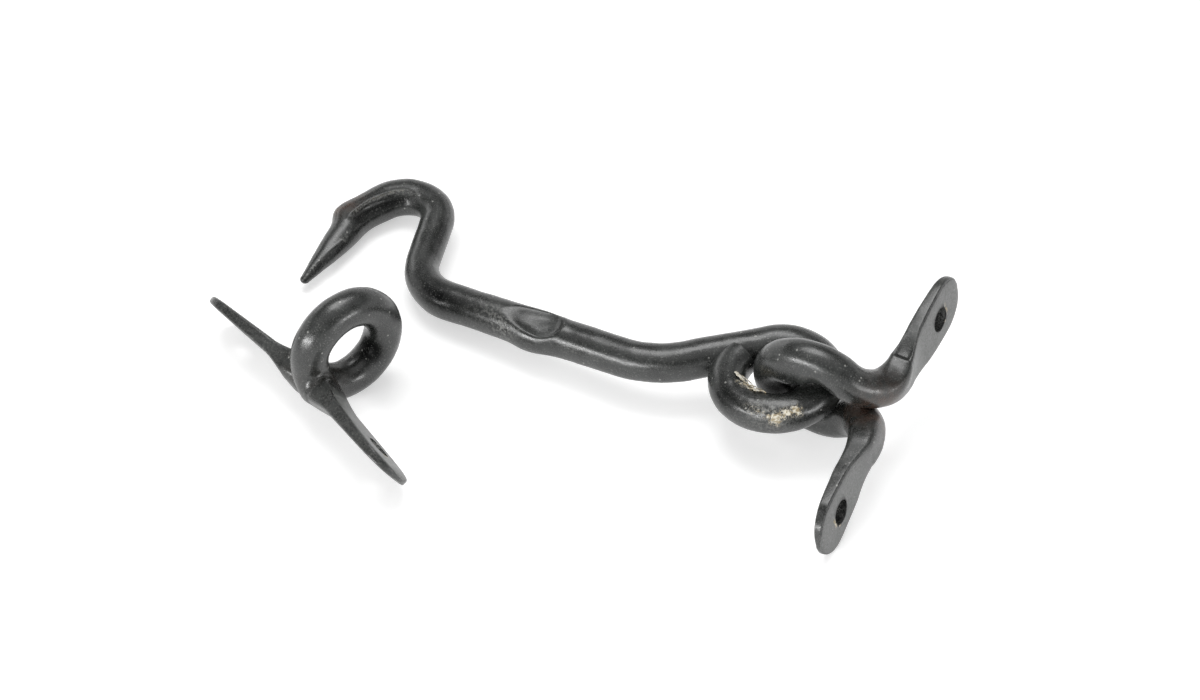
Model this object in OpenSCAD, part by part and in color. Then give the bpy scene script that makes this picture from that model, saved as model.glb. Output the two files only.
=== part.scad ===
// Forged hook and eye latch: a cabin hook linked to its eye staple, and a loose keeper staple.
// Millimetres, +Z up. The pieces lie on a bench as they come out of the packet.

/* [Bar] */
// Diameter of the round bar that the hook is bent from
hook_bar = 7.9; // [6.5:0.1:9.5]
// Diameter of the round bar that both staples are bent from
staple_bar = 7.7; // [6.5:0.1:9]
// Play of the staple's bar inside the hook's eye
eye_play = 3.8; // [3.5:0.1:8]
// Play of the hook's bar inside the linked staple's ring
link_play = 3.2; // [2.6:0.1:5]
// Play of the hook's bar inside the keeper's ring
keeper_play = 2.1; // [1:0.1:5]

/* [Hook] */
// How far the bar is wrapped round to close the eye, in degrees
eye_wrap = 322; // [316:1:328]
// Straight bar between the eye and the sweep into the shank
link_len = 15.9; // [14:0.1:22]
// Bend radius of the sweep from the eye into the shank
sweep_r = 20.8; // [16:0.1:30]
// Angle of that sweep, in degrees
sweep_a = 39; // [36:0.2:44]
// Straight length of the shank
shank_len = 40.3; // [34:0.1:70]
// Bend radius of the crease at the foot of the neck
crease_r = 12; // [8:0.1:14]
// Angle of the crease, in degrees
crease_a = 72.6; // [66:0.1:82]
// Straight length of the neck
neck_len = 11.4; // [9:0.1:22]
// How much thinner the bar is drawn at the neck
neck_slim = 0.8; // [0:0.1:1.6]
// Bend radius over the crown of the head
crown_r = 7.6; // [7:0.1:12]
// Angle turned over the crown, in degrees
crown_a = 130.2; // [120:0.1:140]
// Bend radius of the brow, between the crown and the beak
brow_r = 18.6; // [14:0.1:26]
// Angle turned along the brow, in degrees
brow_a = 32.5; // [28:0.5:46]
// Length of the drawn-out beak
beak_len = 18.2; // [12:0.1:26]
// Width of the beak where it starts
beak_root = 6.6; // [5:0.1:7.4]
// Width of the beak at its blunt point
beak_tip = 2.2; // [0.8:0.1:3]
// Depth of the beak at its point, as a share of its width
beak_flat = 0.8; // [0.6:0.05:1]
// Height of the brow knob above the bar
knob_rise = 0.8; // [0.4:0.1:1.6]
// Distance of the brow knob back from the start of the beak
knob_back = 2.5; // [1.5:0.5:6]

/* [Thumb dish] */
// Distance of the dish from the shank's end at the sweep
dish_from = 18; // [9:0.5:24]
// Length of the dish along the shank
dish_len = 11; // [7:0.5:14]
// Depth that the dish is hammered into the bar
dish_depth = 2; // [0.8:0.1:2.4]
// How far the displaced metal stands out beside the bar
dish_swell = 0.9; // [0.3:0.1:1.5]
// Turn of the dish about the shank, from straight up toward the beak's side, in degrees
dish_turn = 14; // [0:1:40]

/* [Staple tabs] */
// Width of a screw tab
tab_w = 12.8; // [10:0.1:15]
// Thickness of a tab where the flattening ends
tab_root_t = 3.1; // [2.6:0.1:5]
// Thickness of a tab at its tip
tab_tip_t = 1.7; // [1.4:0.1:2.6]
// Length of the shoulder in which the round bar turns flat
tab_shoulder = 7; // [5:0.5:10]
// How far the tabs are swept back from square, in degrees
tab_lean = 3.9; // [0:0.1:5]
// Diameter of the screw holes
hole_d = 5; // [3.5:0.1:6]
// Distance of a screw hole from the tip of its tab
hole_inset = 9; // [6:0.5:11]

/* [Linked staple] */
// Angle from the top of the ring to where each leg leaves it, in degrees
link_wrap = 131; // [122:1:133]
// Bend radius from the ring into each tab
link_corner = 10.2; // [9:0.1:13]
// Distance from the middle to the tip of each tab
link_reach = 33; // [30:0.5:42]
// Turn of the staple about its own axis as it lies, in degrees
link_roll = 13.3; // [8:0.1:14]

/* [Keeper staple] */
// Angle from the top of the ring to where each leg leaves it, in degrees
keeper_wrap = 147; // [136:0.5:150]
// Bend radius from the ring into each tab
keeper_corner = 5.1; // [5:0.1:9]
// Distance from the middle to the tip of each tab
keeper_reach = 32.6; // [30:0.1:42]
// Place of the keeper along the bench, from the hook's eye
keeper_x = -83.7; // [-110:0.1:-75]
// Place of the keeper across the bench, from the hook's eye
keeper_y = -39; // [-60:0.1:-37]
// Turn of the keeper's tab line on the bench, in degrees
keeper_yaw = 155; // [145:0.5:165]
// Slope of the keeper's ring above the bench, in degrees
keeper_lie = 31.5; // [26:0.5:33]
// Slope of the keeper's tab line along the bench, in degrees
keeper_pitch = 0.7; // [0:0.1:2]

/* [Lie on the bench] */
// Turn of the hook's shank from the staple's axis, in degrees
hook_yaw = -2.4; // [-8:0.1:4]
// Lift of the hook's beak side off the bench, in degrees
hook_roll = 3; // [0:0.1:4]
// Distance of the hook's bar from the middle of the staple's ring, toward the tabs
link_seat = 1.2; // [0.8:0.1:1.6]
// Distance of the hook's bar from the middle of the staple's ring, downward
link_drop = 0.4; // [0:0.1:0.6]
// Place of the hook's eye along the bench, from the middle of the whole set
eye_x = 44.4; // [20:0.1:70]
// Place of the hook's eye across the bench, from the middle of the whole set
eye_y = 12; // [0:0.1:30]

/* [Hidden] */
$fn = 64;
// points round a swept section
ring_points = 28;
// degrees of bend between two swept sections
bend_step = 9;
// how far a swept bar reaches back into the ring it leaves
bite = 1;
// share of its full size that a swept bar has inside that ring
bite_fit = 0.97;
// angle at which the round end of a tab is cut off blunt
tab_end_a = 82;
// squareness of a round section and of a hammered flat one
round_p = 2;
flat_p = 8;
hook_r = hook_bar / 2;
staple_r = staple_bar / 2;
eye_r = hook_r + (staple_bar + eye_play) / 2;
link_ring = staple_r + (hook_bar + link_play) / 2;
keeper_ring = staple_r + (hook_bar + keeper_play) / 2;

// height of a ring's middle above the line of its tabs
function ring_up(ring, wrap, corner) = corner * sin(wrap) - ring * cos(wrap);

// Bending schedule of the hook, from the eye to the beak: [straight, bend radius, bend angle]
hook_bends = [
    [link_len, sweep_r, -sweep_a],
    [shank_len, crease_r, -crease_a],
    [neck_len, crown_r, crown_a],
    [0, brow_r, brow_a]
];
// the bar leaves the eye here: x, y and heading
hook_start = [-eye_r * sin(sweep_a), eye_r * cos(sweep_a), 180 + sweep_a];

// state after a straight run
function after_run(at, len) = [at[0] + len * cos(at[2]), at[1] + len * sin(at[2]), at[2]];
// state after a bend, to the left when the angle is positive
function after_bend(at, r, a) =
    let (side = sign(a) * r)
    [
        at[0] + side * (sin(at[2] + a) - sin(at[2])),
        at[1] - side * (cos(at[2] + a) - cos(at[2])),
        at[2] + a
    ];
function after_step(at, step) = after_bend(after_run(at, step[0]), step[1], step[2]);
// state after the first n steps of the schedule
function hook_at(n) = n == 0 ? hook_start : after_step(hook_at(n - 1), hook_bends[n - 1]);

beak_at = hook_at(len(hook_bends));
ring_z = link_ring * cos(link_roll) + staple_r;
// the hook lies on the staple's lower limb at one end and on its brow at the other
bar_z = ring_z - link_drop;
brow_lift = beak_at[1] * sin(hook_roll);
hook_pitch = asin((bar_z + brow_lift - beak_root / 2) / (eye_r - beak_at[0]));
eye_z = bar_z - eye_r * sin(hook_pitch);
link_up = ring_up(link_ring, link_wrap, link_corner);
keeper_up = ring_up(keeper_ring, keeper_wrap, keeper_corner);
keeper_z = keeper_ring + staple_r - keeper_up * sin(keeper_lie);

// blend from a to b as t goes from 0 to 1
function mix(a, b, t) = a + (b - a) * t;
// 0 to 1 as t does, easing in and out, held at the ends
function ease(t) = let (u = min(1, max(0, t))) u * u * (3 - 2 * u);
// closed outline between an ellipse (round_p) and a rounded bar (flat_p)
function oval(a, b, p) = [
    for (i = [0 : ring_points - 1])
        let (c = cos(360 * i / ring_points), s = sin(360 * i / ring_points))
        [a * sign(c) * pow(abs(c), 2 / p), b * sign(s) * pow(abs(s), 2 / p)]
];

// Solid swept through stations: [middle, first axis, second axis, half sizes along them, squareness]
module sweep(stations) {
    n = ring_points;
    last = len(stations) - 1;
    points = [
        for (s = stations)
            for (q = oval(s[3][0], s[3][1], s[4]))
                s[0] + q[0] * s[1] + q[1] * s[2]
    ];
    sides = [
        for (k = [0 : last - 1])
            for (i = [0 : n - 1])
                let (a = k * n + i, b = k * n + (i + 1) % n)
                each [[a, a + n, b + n], [a, b + n, b]]
    ];
    start = [for (i = [0 : n - 1]) i];
    end = [for (i = [n - 1 : -1 : 0]) last * n + i];
    polyhedron(points, concat(sides, [start, end]));
}

// station of the hook's bar at a state of its path
function hook_station(at, half) =
    [[at[0], at[1], 0], [-sin(at[2]), cos(at[2]), 0], [0, 0, 1], half, round_p];
// states through a bend
function bend_states(at, r, a) =
    let (n = ceil(abs(a) / bend_step))
    [for (i = [0 : n]) after_bend(at, r, a * i / n)];
// how far the bar's radius is drawn in through bend k: in along the crease, out again over the crown,
// and along the brow down to the beak
function drawn_in(k, t) =
    k == 1 ? neck_slim / 2 * ease(t) :
    k == 2 ? neck_slim / 2 * (1 - ease(t)) :
    k == 3 ? (hook_r - beak_root / 2) * ease(t) : 0;
// how far the bar is spread beside the dish, at a distance along the shank
function spread(x) =
    let (t = (x - dish_from) / dish_len)
    abs(t) < 1 ? dish_swell * pow(cos(90 * t), 2) : 0;

// Bar of the hook from the eye to the point of the beak
module hook_bar_swept() {
    round_bar = [hook_r, hook_r];
    shank_steps = 18;
    beak_steps = 8;
    shank_at = hook_at(1);
    lead = [
        hook_station(after_run(hook_start, -bite), round_bar * bite_fit),
        hook_station(after_run(hook_start, bite), round_bar)
    ];
    bends = [
        for (k = [0 : len(hook_bends) - 1])
            let (
                step = hook_bends[k],
                states = bend_states(after_run(hook_at(k), step[0]), step[1], step[2]),
                last = len(states) - 1
            )
            [for (i = [0 : last]) hook_station(states[i], round_bar - drawn_in(k, i / last) * [1, 1])]
    ];
    shank = [
        for (i = [1 : shank_steps - 1])
            let (x = dish_from + dish_len * mix(-1, 1, i / shank_steps))
            hook_station(after_run(shank_at, x), round_bar + [spread(x), 0])
    ];
    beak = [
        for (i = [1 : beak_steps])
            let (t = i / beak_steps, half = mix(beak_root, beak_tip, t) / 2)
            hook_station(after_run(beak_at, beak_len * t), [half, half * mix(1, beak_flat, t)])
    ];
    sweep(concat(lead, bends[0], shank, bends[1], bends[2], bends[3], beak));
}

// Ball whose cap is as long as the thumb dish and as deep
module dish_ball() {
    ball = (pow(dish_len / 2, 2) + dish_depth * dish_depth) / (2 * dish_depth);
    translate([0, 0, hook_r - dish_depth + ball])
        sphere(r = ball);
}

module place(at) {
    translate([at[0], at[1], 0])
        rotate([0, 0, at[2]])
            children();
}

// Hook in its own plane, with the middle of the eye at the origin and the shank along -X
module hook_flat() {
    difference() {
        union() {
            // eye, from its closed end round to where the bar leaves it
            rotate([0, 0, 90 + sweep_a - eye_wrap])
                rotate_extrude(angle = eye_wrap)
                    translate([eye_r, 0])
                        circle(d = hook_bar);
            hook_bar_swept();
            // knob on the outer side of the brow, a ball that stands knob_rise out of the bar
            place(beak_at)
                translate([-knob_back, -2 * knob_rise, 0])
                    sphere(r = hook_r - knob_rise);
        }
        place(after_run(hook_at(1), dish_from))
            rotate([-dish_turn, 0, 0])
                dish_ball();
    }
}

// Leg of a staple: it bends out of the ring's plane toward +X, turns flat and ends in a screw tab
module leg(ring, wrap, corner, reach) {
    up = ring_up(ring, wrap, corner);
    // the bend lies in the plane of the ring's end and the X axis; its axis is square to both
    heading = [0, -cos(wrap), -sin(wrap)];
    axis = [0, -sin(wrap), cos(wrap)];
    foot = [0, -ring * sin(wrap), up + ring * cos(wrap)];
    turn = [corner, -corner * cos(wrap) - ring * sin(wrap), 0];
    corner_steps = 9;
    out = [cos(tab_lean), 0, -sin(tab_lean)];
    back = [-sin(tab_lean), 0, -cos(tab_lean)];
    tab_len = (reach - corner) / cos(tab_lean);
    end = tab_w / 2;
    straight = tab_len - end;
    // the hammer starts to flatten the bar halfway round the bend
    lead_in = corner * PI / 4;
    // half thickness, half width and squareness at a distance z past the bend
    function forged(z) =
        let (
            flat = ease((z + lead_in) / (tab_shoulder + lead_in)),
            wide = ease((z + lead_in) / (straight + lead_in)),
            thin = max(0, z - tab_shoulder) / (tab_len - tab_shoulder),
            past = max(0, z - straight) / end
        )
        [
            mix(staple_r, mix(tab_root_t, tab_tip_t, thin) / 2, flat),
            mix(staple_r, end, wide) * sqrt(1 - past * past),
            mix(round_p, flat_p, flat)
        ];
    bend = [
        for (i = [1 : corner_steps])
            let (
                a = 90 * i / corner_steps,
                along = cos(a) * heading + [sin(a), 0, 0],
                across = cross(along, axis),
                twist = (wrap - 90) * i / corner_steps,
                size = forged(-corner * (90 - a) * PI / 180)
            )
            [
                foot + corner * (sin(a) * heading + [1 - cos(a), 0, 0]),
                across * cos(twist) + axis * sin(twist),
                across * sin(twist) - axis * cos(twist),
                [size[0], size[1]],
                size[2]
            ]
    ];
    // the bar starts inside the ring's end, a little thinner than it
    lead = [foot - bite * heading, cross(heading, axis), -axis, [staple_r, staple_r] * bite_fit, round_p];
    // the tab runs straight, swept back a little, and ends round
    shoulder_steps = 5;
    end_steps = 6;
    zs = concat(
        [for (k = [1 : shoulder_steps]) tab_shoulder * k / shoulder_steps],
        [(tab_shoulder + straight) / 2],
        [for (k = [0 : end_steps]) straight + end * sin(tab_end_a * k / end_steps)]
    );
    tab = [
        for (z = zs)
            let (size = forged(z))
            [turn + z * out, back, [0, 1, 0], [size[0], size[1]], size[2]]
    ];
    difference() {
        sweep(concat([lead], bend, tab));
        translate(turn + (tab_len - hole_inset) * out)
            rotate([0, tab_lean, 0])
                cylinder(d = hole_d, h = 2 * staple_bar, center = true);
    }
}

// Staple with its ring standing up along +Z and its tabs out along X, from the line of the tabs
module staple(ring, wrap, corner, reach) {
    // ring, open at the bottom between the two legs
    translate([0, 0, ring_up(ring, wrap, corner)])
        rotate([0, 90, 0])
            rotate([0, 0, 180 - wrap])
                rotate_extrude(angle = 2 * wrap)
                    translate([ring, 0])
                        circle(d = staple_bar);
    for (side = [0, 180])
        rotate([0, 0, side])
            leg(ring, wrap, corner, reach);
}

module hook() {
    color([0.16, 0.17, 0.18])
        translate([eye_x, eye_y, eye_z])
            rotate([hook_roll, -hook_pitch, hook_yaw])
                hook_flat();
}

module pivot_staple() {
    color([0.18, 0.19, 0.2])
        translate([eye_x + eye_r - link_seat + link_up, eye_y, ring_z])
            rotate([link_roll, 0, 0])
                rotate([0, -90, 0])
                    rotate([0, 0, 90])
                        staple(link_ring, link_wrap, link_corner, link_reach);
}

module keeper_staple() {
    color([0.2, 0.21, 0.22])
        translate([eye_x + keeper_x, eye_y + keeper_y, keeper_z])
            rotate([0, 0, keeper_yaw])
                rotate([90 - keeper_lie, keeper_pitch, 0])
                    staple(keeper_ring, keeper_wrap, keeper_corner, keeper_reach);
}

hook();
pivot_staple();
keeper_staple();
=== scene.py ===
"""Looks of the forged hook and eye latch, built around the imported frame.
Sizes are in mm until a mesh is made, and angles are in degrees."""
import math
from collections import namedtuple
from functools import partial
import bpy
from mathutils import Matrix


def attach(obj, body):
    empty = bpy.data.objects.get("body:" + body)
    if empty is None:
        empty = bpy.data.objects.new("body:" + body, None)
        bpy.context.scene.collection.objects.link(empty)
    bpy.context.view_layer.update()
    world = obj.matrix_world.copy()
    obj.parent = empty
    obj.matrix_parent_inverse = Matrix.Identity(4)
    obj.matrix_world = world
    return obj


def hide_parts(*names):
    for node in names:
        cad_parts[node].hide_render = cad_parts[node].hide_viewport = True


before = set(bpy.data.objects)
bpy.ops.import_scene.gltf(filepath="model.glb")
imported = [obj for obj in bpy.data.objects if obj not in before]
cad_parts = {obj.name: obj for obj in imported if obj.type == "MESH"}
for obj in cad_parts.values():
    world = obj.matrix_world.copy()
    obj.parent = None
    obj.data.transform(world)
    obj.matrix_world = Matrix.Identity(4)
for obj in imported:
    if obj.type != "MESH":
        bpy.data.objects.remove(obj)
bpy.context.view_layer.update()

from types import SimpleNamespace

import bpy
import numpy as np
from mathutils import Vector

MM = 0.001
# points round a section, the angle between two of them, and the distance between sections
RING = 96
POINT_ANGLE = 360 / RING
STEP = 0.42
# keeps a division off zero, and the power of a round section, where a higher one is squarer
TINY = 1e-9
ROUND = 2.0

# Sizes of the solids, repeated from the part's source
HOOK_R, STAPLE_R = 3.95, 3.85
EYE_R, LINK_RING, KEEPER_RING = 9.7, 9.4, 8.85
EYE_AT = np.array([44.4, 12.0])
EYE_WRAP, SWEEP_A = 322, 39
HOOK_YAW, HOOK_ROLL = -2.4, 3
LINK_SEAT, LINK_DROP, LINK_ROLL = 1.2, 0.4, 13.3
LINK = dict(ring=LINK_RING, wrap=131, corner=10.2, reach=33)
KEEPER = dict(ring=KEEPER_RING, wrap=147, corner=5.1, reach=32.6)
KEEPER_AT, KEEPER_LIE, KEEPER_TILT, KEEPER_YAW = (-83.7, -39), 31.5, 0.7, 155
TAB_W, TAB_ROOT_T, TAB_TIP_T, TAB_SHOULDER, TAB_LEAN = 12.8, 3.1, 1.7, 7, 3.9
HOLE_R, HOLE_INSET = 2.5, 9
DISH_FROM, DISH_DEPTH, DISH_SWELL = 18, 2.0, 0.9
NECK_SLIM, BEAK_ROOT, BEAK_TIP, BEAK_FLAT = 0.8, 6.6, 2.2, 0.8
# after the eye, name and length of each straight of the hook, then name, radius and angle of its bend
BENDS = [("link", 15.9, "sweep", 20.8, -SWEEP_A),
         ("shank", 40.3, "crease", 12, -72.6),
         ("neck", 11.4, "crown", 7.6, 130.2),
         ("none", 0, "brow", 18.6, 32.5),
         ("beak", 17.5, "none", 0, 0)]

# Hammered skin of all pieces: height, size and seed of its lumps, and of the crumbs on worn places
SKIN = ((0.10, 7, 3), (0.05, 2.6, 5), (0.022, 1.1, 8))
CRUMB_HIGH, CRUMB_SIZE, CRUMB_SEED, CRUMB_GAIN = 0.3, 0.9, 12, 2.2
# edges sharper than this stay sharp when the pieces are shaded smooth
SHARP_ANGLE = 38

# Beak: length, rows and last width of its blunt point, and height and lean of its belly
POINT, POINT_ROWS, POINT_END = 1.0, 9, 0.004
BELLY, BELLY_LEAN = 0.3, 0.8

# Forged edges of the head: distance past the beak's start, and angle round the section
RIDGE_PATH = ((-18, 57), (-16, 59), (-9.7, 62), (-2.1, 75), (1, 82))
EDGE_PATH = ((-2, 30), (4.7, 43), (10, 56), (16, 70))
# start and length of each ramp, past the crown's start for RIDGE_RISE and past the beak's for the others
RIDGE_RISE, RIDGE_FADE, EDGE_RISE = (5, 8), (1.5, -3), (0.5, 4)
RIDGE_HIGH, RIDGE_HOLLOW, EDGE_HIGH, EDGE_HOLLOW = 1.1, 0.42, 0.3, 0.12
CREST_W, HOLLOW_BELOW, HOLLOW_W = 5, 26, 20
# numbers of the section points that stay on the head's edge and on the beak's
HEAD_POINT, BEAK_POINT = 15, 5
# nick in the beak's edge and knob on the brow: middle and reach before and after
NICK, NICK_DEEP = (4.7, 0.4, 0.7), 1.3
KNOB, KNOB_HIGH, KNOB_ANGLE, KNOB_W = (-1.5, 3.8, 2.5), 1.5, 160, 44
# half width from which the head's relief has its full height
FULL_RELIEF_R = 3.6

# Thumb dish: where it faces, its reach toward the eye and away from it, half width,
# how much shallower than the solid's it is, and its lip
DISH_ANGLE, DISH_TO_EYE, DISH_TO_NECK, DISH_HALF_W = 82, 5.2, 8.6, 3.6
DISH_FILL = 0.3
DISH_PRESS = DISH_DEPTH - DISH_FILL
LIP_HIGH, LIP_AT, LIP_W, LIP_RISE = 0.2, 1.1, 0.14, (-1.5, -3)
# its wall at the neck's end and at the eye's: powers of the fall, and where they change
STEEP, STEEP_CHANGE, SOFT, SOFT_CHANGE = (3.0, 5.0), (1.5, -5), (2.2, 1.0), (-1, -4)
# swell beside it: middle and reach before and after, then share, angle and width on each side of the bar
SWELL, SWELL_SIDES = (1.6, 5.0, 4.6), ((1.15, -14, 44), (0.4, 165, 40))
# how far along the shank a section counts that is on the sweep or elsewhere, which is off the dish
ON_SWEEP, ELSEWHERE = -1.0, 99.0

# Crumbs of old wax and bare metal on the eye: strength, place and size in the hook's own frame
WAX_SPOTS = ((0.85, (9.0, -8.5, 2.9), (1.5, 1.2, 2)),
             (0.80, (7.3, -10.1, 2.8), (1.3, 1.0, 2)),
             (0.85, (5.8, -11.7, 1.8), (1.4, 0.9, 2)),
             (0.42, (1.5, -12.0, 2.9), (4.5, 1.6, 3)))
WAX_INSIDE = (0.75, (-2.4, -6.9, 3.1), (3.6, 1.6, 2))
EYE_SCUFF = (0.95, (4.4, -11.4, 2.9), (4.4, 2.4, 4))
# painted shade on the outer side of the eye
EYE_SHADE = (0.7, (-5.2, -10.6, 2.8), (4.2, 2.6, 4))
# Marks on the shank: strength, middle along it, reach before and after, angle round it and width
PITS = (0.85, DISH_FROM + 6.6, 2.2, 3.0, 24, 34)
SCUFF_PAST_DISH = (0.4, DISH_FROM + 10.5, 3, 4.5, 60, 40)
SCUFF_BEFORE_DISH = (0.35, DISH_FROM - 9, 6, 4, 30, 14)
# painted shade on the shank before the neck and at both ends of the dish
SHADE_BEFORE_NECK = (1.0, 44, 9, 7, 54, 36)
DISH_SHADE_NECK_END = (0.5, DISH_FROM + 4.6, 2.0, 1.8, 80, 40)
DISH_SHADE_EYE_END = (0.8, DISH_FROM - 4.6, 0.7, 1.0, 80, 40)
# painted sheen in the middle of the dish
DISH_SHEEN = (0.42, DISH_FROM - 0.6, 3.2, 2.8, 84, 40)
# the same on the brow, by distance past the beak's start, and on the neck, by share of it
BROW_RUST = (1.0, -2.6, 3.4, 2.6, 145, 44)
# painted shade on the neck
NECK_SHADE = (0.7, 0.45, 0.5, 0.5, 142, 20)
# how far along the shank places count that are on the crease, from its start, or elsewhere
CREASE_FROM, OFF_SHANK = 45, -20
# Marks along the forged edges: strength, angle from the edge and width, and reach of two on the beak. Crumbs
# of bare metal, painted highlight lines on the edges, and painted shade on the hollow faces below them
RIDGE_CRUMBS, RIDGE_GLINT, RIDGE_SHADE = (0.42, -1, 4), (1.3, 0, 6), (0.75, -28, 20)
EDGE_GLINT, NICK_GLINT, EDGE_SHADE = (1.0, 6, 12), (1.0, 0, 16), (0.35, -26, 14)
EDGE_GLINT_REACH, NICK_GLINT_REACH = (15.5, 4, 4), (5.2, 0.6, 0.9)

# Strips of old wax on the eye: from and to round the eye, from and to round its bar,
# lift at the ends and in the middle, width and waves
FLAKES = ((-144, -124, 64, 50, 0.05, 0.35, 0.95, 0.5),
          (-136, -104, 44, 36, 0.20, 0.42, 0.32, 1.0),
          (-121, -88, 52, 60, 0.10, 0.45, 0.45, 2.5),
          (-102, -77, 68, 58, 0.08, 0.40, 0.6, 1.5),
          (-113, -97, 40, 28, 0.15, 0.40, 0.28, 0.5),
          (-98, -84, 50, 44, 0.10, 0.40, 0.3, 1.0))
# section of a strip: place across it in widths, and rise
FLAKE_SECTION = ((-0.5, 0.0), (0.0, 0.08), (0.5, 0.02), (0.5, -0.08), (-0.5, -0.1))
FLAKE_ROWS, FLAKE_CLEAR = 14, 0.1
# sway and fray of a strip: size, angle that fraying runs through, and step from strip to strip
SWAY, SWAY_NEXT, FRAY, FRAY_RUN, FRAY_NEXT = 5, 70, 0.25, 900, 40
BLUNT_ENDS = 0.05

# Forging, wear, painted shade and painted sheen of each staple. notch: leg, then place past the tab's root,
# angle round it and depth.
# twist of the tabs, fuller inner side of the ring, rust stain, spots of painted shade with their sizes,
# bare: where the bare metal on a hole's rim starts, and last the strength of painted sheen on the tabs' faces
LINK_LOOK = dict(notch={1: (0.5, 270, 0.6), -1: (17.8, 90, 0.4)}, twist=8, fuller=1.6, stain=1.0,
                 shade_spots=(((46.0, 9.2, 13.6), 3.8), ((48.0, 15.5, 9.0), 4.5)), bare=0.3, face_sheen=0.1)
KEEPER_LOOK = dict(notch={1: (1.5, 90, 0.3), -1: (1.0, 90, 0.3)}, twist=0, fuller=0, stain=0.25,
                   shade_spots=(((-32.5, -15.2, 9.2), 2.8),), bare=-0.6, face_sheen=0.65)
TWIST_LEN = 8
# reach of a notch before and after its place, width round the tab, and the same for the painted shade line in
# it
NOTCH_REACH, NOTCH_W = (0.6, 3.4), 24
NOTCH_LINE_BACK, NOTCH_LINE_REACH, NOTCH_LINE_W = 0.2, (0.5, 0.5), 26
# the fuller side: angle, width, and ramps above the ring's middle in mm and away from the tabs in radii
FULLER_ANGLE, FULLER_W, FULLER_ABOVE, FULLER_AWAY = 62, 50, (3, 4), (-0.2, 0.35)
# rust stain between the legs, and marks on the tabs: painted shade along their corners, painted sheen on
# their faces, scuffs and bare rims
STAIN_LOW, STAIN_R = 1.5, 5
TAB_MARKS_FROM, TAB_CORNERS, TAB_CORNER_W, TAB_FACE_W = (1, 4), (45, 135, 225, 315), 5, 44
CORNER_SHADE, TAB_SCUFF, RIM_WEAR, RIM_W = 0.95, 0.1, 0.25, 0.7
# power of a tab's section along it and at its tip, and rows, last angle and least thickness of its round end
TAB_SQUARE, TIP_SQUARE = 8, 4
TIP_ROWS, TIP_ANGLE, TIP_THIN = 26, 88.5, 0.2
# place past the tab's root that the ring's sections count as
OFF_TAB = -99

# Screw holes: half of the drill's profile as height and radius, and how far the painted shade on the wall and
# the bare rim go
DRILL_HALF = ((1.0, HOLE_R), (1.4, 2.54), (1.7, 2.72), (1.95, 3.1), (6, 3.4))
DRILL_POINTS = 48
HOLE_WALL, HOLE_RIM, HOLE_REACH = 2.56, 3.1, 3
BARE_RIM, BARE_RIM_RISE = 0.85, 0.3

# Colours of the iron, its crumbs, the wax and the bench, with the black of painted shade, the grey of painted
# sheen and the grey of scuffs and painted highlights
BLACK, DUSTY, SHADE_BLACK = (0.0108, 0.0118, 0.0111), (0.046, 0.050, 0.047), (0.003, 0.003, 0.0032)
PALE_SHEEN_GREY, SCUFF_AND_GLINT_GREY, FLECK = (0.150, 0.155, 0.152), (0.27, 0.27, 0.255), (0.19, 0.19, 0.18)
DUST_GRAIN, RUST = (0.28, 0.28, 0.265), (0.105, 0.055, 0.036)
CRUMB_BROWN, CRUMB_CREAM = (0.30, 0.24, 0.14), (0.66, 0.62, 0.52)
WAX_BROWN, WAX_CREAM = (0.36, 0.29, 0.18), (0.74, 0.71, 0.62)
BENCH_WHITE, GLOW_WHITE = (0.80, 0.80, 0.80, 1), (1, 1, 1, 1)
# Noises of the materials: scale, detail, roughness and shift
NOISES = dict(thick=(240, 4, 0.6, 0.0), fine=(1100, 3, 0.6, 0.31), grit=(3000, 1.5, 0.5, 0.77),
              rubbed=(2400, 2, 0.7, 0.63), fleck=(3600, 0.5, 0.5, 0.43), scuff=(1700, 4, 0.7, 0.13),
              rust=(520, 4, 0.6, 0.51), crumb=(1150, 4, 0.75, 0.91), thread=(1250, 1.5, 0.5, 0.37),
              tint=(1500, 2, 0.5, 0.27), wax=(900, 3, 0.6, 0.0), wax_grain=(2600, 2, 0.6, 0.2))
# scale of the single grains of dust
DUST_SCALE = 620.0
# how far each layer of the iron covers what is under it
COVER = dict(dark=0.75, dust=0.8, scuff=0.75, rust=0.75)
# roughness of the iron: black coat, then what dust, wear and grey faces add, and the most
ROUGH, ROUGH_DUST, ROUGH_WORN, ROUGH_FACES, ROUGH_MOST = 0.25, 0.24, 0.25, 0.2, 0.8
SHINE, SHINE_LOST_IN_DARK, WAX_ROUGH = 0.75, 0.72, 0.5
# bumps: share of each layer in the iron's height, then strength and distance in m for the iron and the wax
HEIGHTS = dict(fine=0.24, grit=0.17, bare=0.9, scuff=0.25)
IRON_BUMP, WAX_BUMP = (0.3, 0.0002), (0.5, 0.0001)

# Bench in m, with the glow that shows it white, and strengths of the studio's sky
BENCH_SIZE, BENCH_Z, BENCH_GLOW = 12, -0.0002, 0.46
SKY_BAND, SKY_LOW, SKY_TOP = 1.1, 0.22, 0.95
# Lamps, all aimed at the origin: name, place and size in m, power in W
LAMPS = (("overhead", (-0.25, 0.35, 1.4), (0.9, 0.7), 9),
         ("front", (-0.50, -1.30, 0.46), (1.2, 0.16), 13),
         ("right", (1.35, -0.22, 0.24), (0.4, 0.2), 3),
         ("left", (-1.2, 0.7, 0.38), (0.7, 0.22), 0.6))
# Camera fitted to the photo: what it looks at from the eye, where it stands from there, and its lens
LOOK_FROM_EYE, STAND_FROM_LOOK = (-40.36, 2.15), (229.6, -448.1, 486.3)
FOCAL_PX, PHOTO_PX, SENSOR, CLIP_START = 3430, 1200, 36.0, 0.01

State = namedtuple("State", "x y heading stretch share run")
Section = namedtuple("Section", "middle first second half square tab leg")


def sin(a):
    return np.sin(np.radians(a))


def cos(a):
    return np.cos(np.radians(a))


def mix(a, b, t):
    return a + (b - a) * t


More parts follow.
